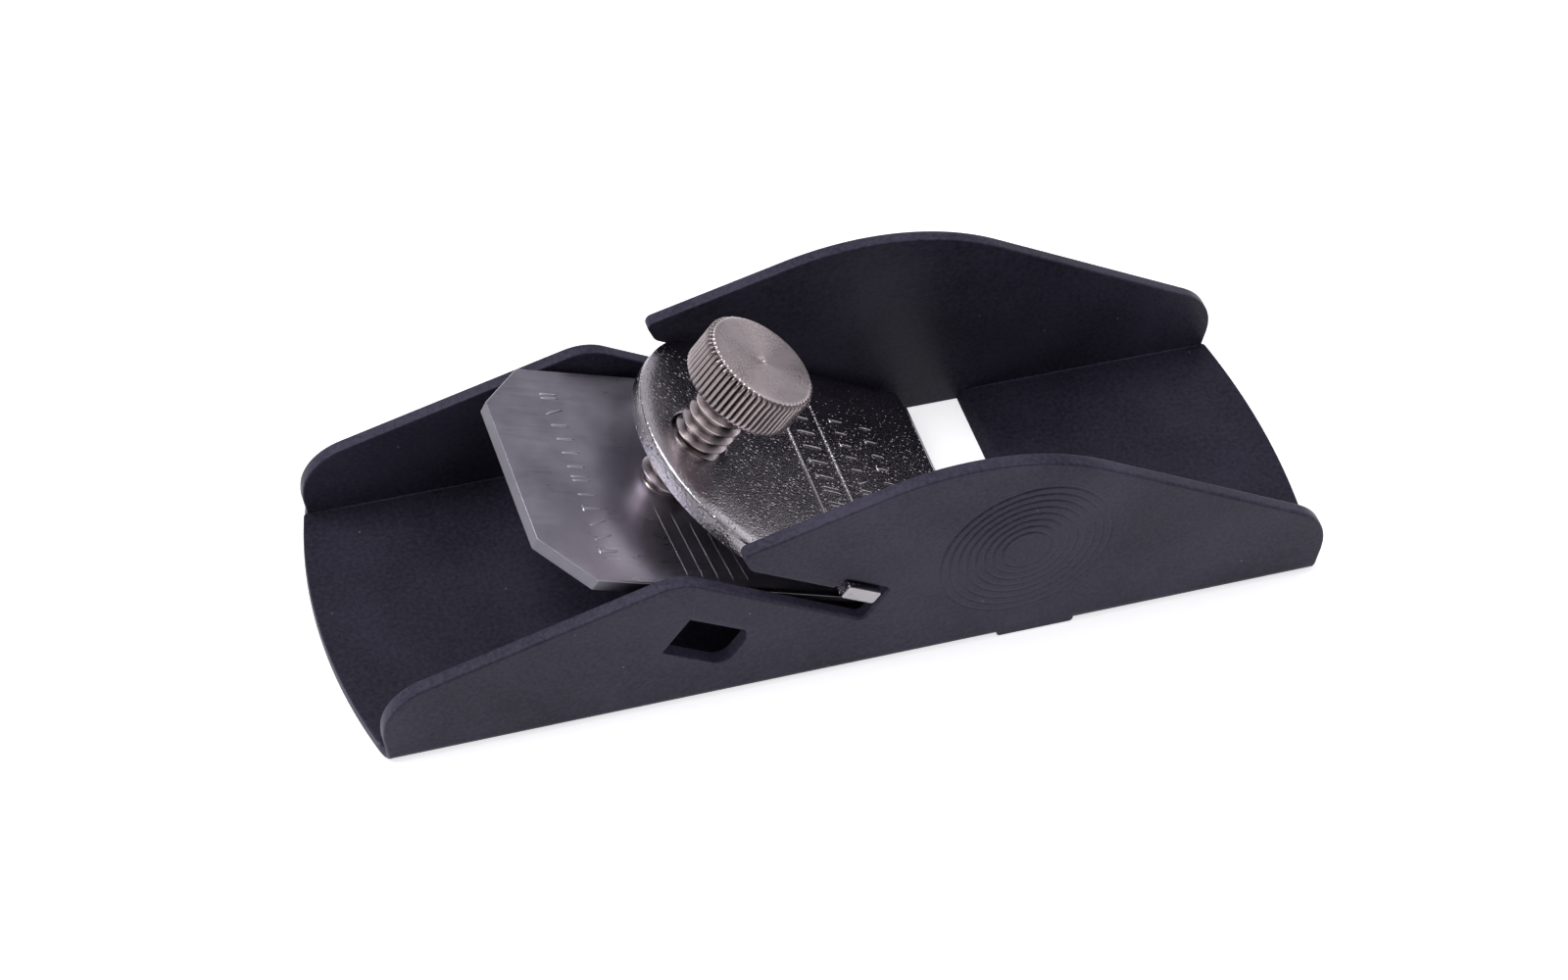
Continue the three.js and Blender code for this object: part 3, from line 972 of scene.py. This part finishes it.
def build_light():
    world = bpy.data.worlds.new("studio")
    world.use_nodes = True
    tree = world.node_tree
    back = tree.nodes["Background"]
    coordinates = tree.nodes.new("ShaderNodeTexCoord")

    def lobe(way, *stops):
        """Colour that depends on the angle from one direction."""
        facing = tree.nodes.new("ShaderNodeVectorMath")
        facing.operation = "DOT_PRODUCT"
        facing.inputs[1].default_value = Vector(way).normalized()
        ramp = tree.nodes.new("ShaderNodeValToRGB")
        ramp.color_ramp.interpolation = "EASE"
        tree.links.new(coordinates.outputs["Generated"], facing.inputs[0])
        tree.links.new(facing.outputs["Value"], ramp.inputs["Fac"])
        for element, (position, colour) in zip(ramp.color_ramp.elements, stops):
            element.position = position
            element.color = (*colour, 1)
        return ramp.outputs["Color"]

    def blend(kind, first, second):
        """Multiplies or adds two skies."""
        node = tree.nodes.new("ShaderNodeMix")
        node.data_type = "RGBA"
        node.blend_type = kind
        node.inputs[0].default_value = 1.0
        tree.links.new(first, node.inputs[6])
        tree.links.new(second, node.inputs[7])
        return node.outputs[2]

    sky = lobe((0.78, 0.58, 0.22), (0.0, (0.29, 0.275, 0.31)), (0.85, (0.60, 0.58, 0.63)))
    flag = lobe((0.75, 0.60, 0.32), (0.955, (1, 1, 1)), (0.988, (0.16, 0.16, 0.16)))
    softbox = lobe((0.82, 0.20, 0.54), (0.965, (0, 0, 0)), (0.985, (0.75, 0.70, 0.72)))
    light = blend("ADD", blend("MULTIPLY", sky, flag), softbox)
    tree.links.new(light, back.inputs["Color"])
    back.inputs["Strength"].default_value = 1.0
    bpy.context.scene.world = world
    area_light("key", (-0.3, 0.12, 0.6), (0, 0, 0.01), (0.4, 0.4), 3.2)
    area_light("fill", (0.0, -0.55, 0.3), (0, 0, 0.01), (0.6, 0.4), 0.9)


def build_camera():
    azimuth, elevation, roll = (math.radians(degrees) for degrees in CAMERA_TURN)
    ahead = Vector((
        math.sin(azimuth) * math.cos(elevation),
        math.cos(azimuth) * math.cos(elevation),
        -math.sin(elevation),
    ))
    right = Vector((math.cos(azimuth), -math.sin(azimuth), 0))
    up = right.cross(ahead)
    tilted_right = right * math.cos(roll) + up * math.sin(roll)
    tilted_up = up * math.cos(roll) - right * math.sin(roll)
    data = bpy.data.cameras.new("camera")
    data.lens = CAMERA_LENS
    data.sensor_width = 36
    data.clip_start = 0.01
    camera = bpy.data.objects.new("camera", data)
    rotation = Matrix((tilted_right, tilted_up, -ahead)).transposed()
    camera.matrix_world = Matrix.Translation(CAMERA_PLACE) @ rotation.to_4x4()
    bpy.context.scene.collection.objects.link(camera)
    bpy.context.scene.camera = camera


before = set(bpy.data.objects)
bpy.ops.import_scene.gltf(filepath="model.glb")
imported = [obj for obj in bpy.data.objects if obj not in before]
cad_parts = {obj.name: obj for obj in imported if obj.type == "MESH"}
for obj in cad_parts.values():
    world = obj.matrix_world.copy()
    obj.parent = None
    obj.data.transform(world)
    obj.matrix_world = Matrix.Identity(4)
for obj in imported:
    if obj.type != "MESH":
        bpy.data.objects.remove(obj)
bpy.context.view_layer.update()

nickel = nickel_plate()
# the second, lighter paint is partly worn paint and partly painted highlight on the edges and the
# inner corner
build_body([black_paint("black_paint", 1.0), black_paint("black_paint_edge_wear_and_highlight", 1.6)])
build_cutter([ground_steel("ground_steel", 1.42, 0.26), ground_steel("ground_steel_side", 0.55, 0.42)])
build_cap([
    plated_casting("plated_casting", 0.9, 1.0, 0.09),
    plated_casting("plated_casting_rim_and_lug_shade", 0.5, 1.6, 0.2),
])
build_screw(nickel)
build_tip(nickel)
build_floor(pale_floor())
build_light()
build_camera()
bpy.context.scene.view_settings.view_transform = "Standard"
